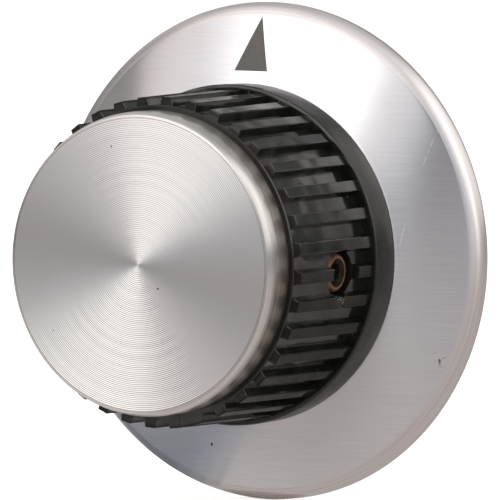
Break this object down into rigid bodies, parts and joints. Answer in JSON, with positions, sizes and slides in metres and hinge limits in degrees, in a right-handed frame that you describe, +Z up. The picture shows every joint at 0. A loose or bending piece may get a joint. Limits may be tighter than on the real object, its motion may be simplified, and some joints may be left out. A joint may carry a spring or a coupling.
{
  "type": "pointer knob",
  "caption": "pointer knob with a black ribbed grip, a turned metal cap and a conical metal skirt with a pointer, fixed on a control shaft by a set screw",
  "frame": {"origin": "on the shaft axis, at the mouth of the bore, which is the hub's rear face", "axes": "+Y goes along the shaft axis into the panel, -Y comes out towards the user, +Z is up through the pointer, +X is to the user's right"},
  "size_m": [0.0636, 0.0314, 0.0636],
  "materials": {
    "phenolic": "moulded, glossy",
    "brass": "turned",
    "steel": "blackened, with a little rust",
    "turned_aluminium": "turned in fine rings",
    "brushed_aluminium": "brushed one way",
    "paint": "matt fill"
  },
  "bodies": {
    "root": {"knob_body": "phenolic", "shaft_bush": "brass", "set_screw": "steel", "cap": "turned_aluminium", "skirt": "brushed_aluminium", "pointer_mark": "paint"}
  },
  "joints": []
}
